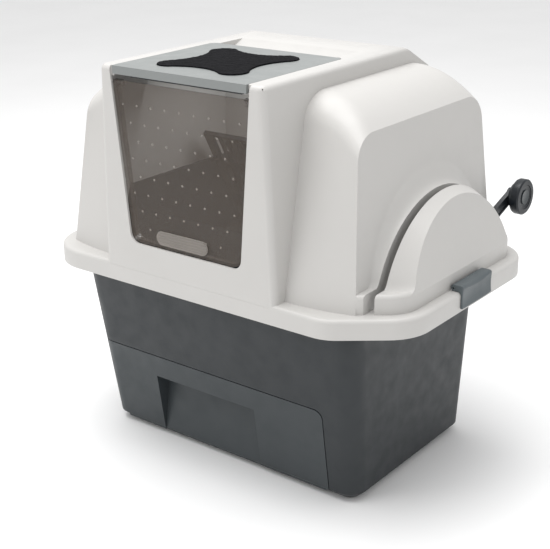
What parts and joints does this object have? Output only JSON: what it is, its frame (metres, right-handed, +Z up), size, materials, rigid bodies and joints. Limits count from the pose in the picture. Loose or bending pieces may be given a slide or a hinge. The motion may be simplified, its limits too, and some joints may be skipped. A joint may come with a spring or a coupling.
{
  "type": "hooded litter box",
  "caption": "Hooded cat litter box with a smoked swing door, filter lid, side latches and a turning sieve pan that a side lever tips into a front waste drawer.",
  "frame": {"origin": "middle of the overall box in X and Y, at the floor under the foot pads", "axes": "+Z up, -Y towards the side with the entry door, +X towards the side with the turning lever"},
  "size_m": [0.66, 0.4798, 0.63],
  "materials": {
    "hood_plastic": "satin moulded",
    "smoked_plastic": "smoked, translucent",
    "lid_plastic": "satin moulded",
    "steel_pin": "drawn",
    "tray_plastic": "satin moulded",
    "carbon_fibre": "fibrous, carbon filled",
    "base_plastic": "satin moulded",
    "bearing_plastic": "low-friction moulded",
    "foot_rubber": "matte",
    "pan_plastic": "smooth moulded",
    "sieve_plastic": "smooth moulded",
    "lever_plastic": "satin moulded",
    "cap_plastic": "satin moulded",
    "latch_plastic": "satin moulded"
  },
  "bodies": {
    "base": {"base_tub": "base_plastic", "bearing_left": "bearing_plastic", "bearing_right": "bearing_plastic", "foot_pads": "foot_rubber"},
    "drawer": {"drawer_front": "base_plastic", "drawer_bin": "base_plastic", "bag_frame": "tray_plastic"},
    "pan": {"litter_pan": "pan_plastic", "pan_end_left": "pan_plastic", "pan_end_right": "pan_plastic", "sieve_grate": "sieve_plastic", "lever_arm": "lever_plastic", "lever_screw": "steel_pin", "knob_pin": "steel_pin"},
    "knob": {"knob_body": "lever_plastic", "knob_cap": "cap_plastic"},
    "hood": {"hood_shell": "hood_plastic", "lever_cover": "hood_plastic", "door_pins": "steel_pin", "lid_pins": "steel_pin", "latch_pin_left": "steel_pin", "latch_pin_right": "steel_pin"},
    "door": {"entry_door": "smoked_plastic"},
    "lid": {"top_lid": "lid_plastic", "filter_tray": "tray_plastic"},
    "filter": {"filter_pad": "carbon_fibre"},
    "latch_l": {"latch_left": "latch_plastic"},
    "latch_r": {"latch_right": "latch_plastic"}
  },
  "joints": [
    {"name": "pan_turn", "type": "hinge", "parent": "base", "child": "pan", "pos_m": [0, -0.005, 0.318], "axis": [1, 0, 0], "range_deg": [0, 141]},
    {"name": "knob_spin", "type": "hinge", "parent": "pan", "child": "knob", "pos_m": [0.282, 0.21181, 0.39478], "axis": [1, 0, 0], "continuous": true},
    {"name": "drawer_slide", "type": "slide", "parent": "base", "child": "drawer", "axis": [0, -1, 0], "range_m": [0, 0.25]},
    {"name": "hood_lift", "type": "slide", "parent": "base", "child": "hood", "axis": [0, 0, 1], "range_m": [0, 0.035]},
    {"name": "door_swing", "type": "hinge", "parent": "hood", "child": "door", "pos_m": [-0.018, -0.23, 0.602], "axis": [-1, 0, 0], "range_deg": [-40, 75]},
    {"name": "lid_open", "type": "hinge", "parent": "hood", "child": "lid", "pos_m": [-0.018, -0.232, 0.62], "axis": [1, 0, 0], "range_deg": [0, 100]},
    {"name": "filter_lift", "type": "slide", "parent": "lid", "child": "filter", "axis": [0, 0, 1], "range_m": [0, 0.02]},
    {"name": "latch_left_open", "type": "hinge", "parent": "hood", "child": "latch_l", "pos_m": [-0.314, -0.005, 0.3302], "axis": [0, 1, 0], "range_deg": [0, 60]},
    {"name": "latch_right_open", "type": "hinge", "parent": "hood", "child": "latch_r", "pos_m": [0.314, -0.005, 0.3302], "axis": [0, -1, 0], "range_deg": [0, 60]}
  ]
}
